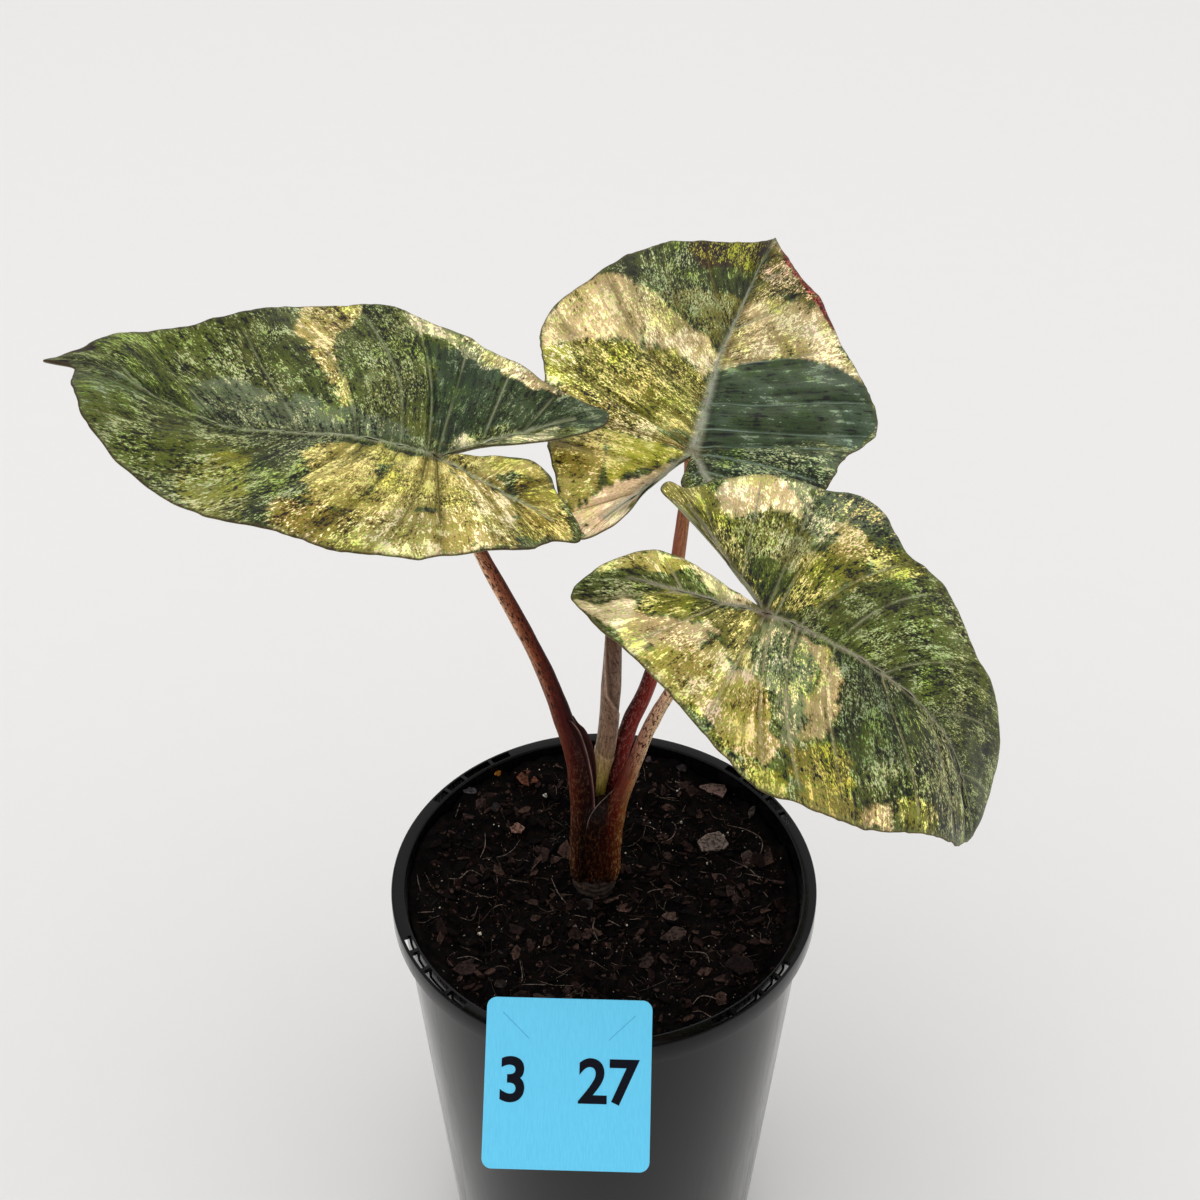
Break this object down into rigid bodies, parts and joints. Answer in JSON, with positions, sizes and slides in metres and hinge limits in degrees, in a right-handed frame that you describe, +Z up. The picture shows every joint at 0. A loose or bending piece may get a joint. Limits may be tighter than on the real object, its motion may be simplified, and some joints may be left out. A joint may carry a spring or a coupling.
{
  "type": "potted variegated giant taro",
  "caption": "Young giant taro with heart-shaped speckled leaves on slender stalks and a rolled new leaf, in a round black nursery pot of bark mix with a square tag on the rim.",
  "frame": {"origin": "middle of the pot's flat base, on the surface it stands on", "axes": "+Z up along the pot's axis; -Y towards the front, where the square tag hangs; +X to the right seen from the front"},
  "size_m": [0.2775, 0.2555, 0.3665],
  "materials": {
    "pot_plastic": "semi-gloss black moulded plastic",
    "bark_mix": "damp dark bark and peat crumb",
    "corm_skin": "rough brown skin",
    "stalk": "smooth red-brown and tan stalk, satin",
    "leaf": "satin leaf, dark green speckled with lime and cream",
    "tag_plastic": "pale blue satin plastic sheet"
  },
  "bodies": {
    "root": {"pot": "pot_plastic", "potting_mix": "bark_mix", "corm": "corm_skin", "petiole_left": "stalk", "petiole_back": "stalk", "petiole_right": "stalk", "blade_left": "leaf", "blade_back": "leaf", "blade_right": "leaf", "new_leaf": "stalk", "plant_tag": "tag_plastic"}
  },
  "joints": []
}
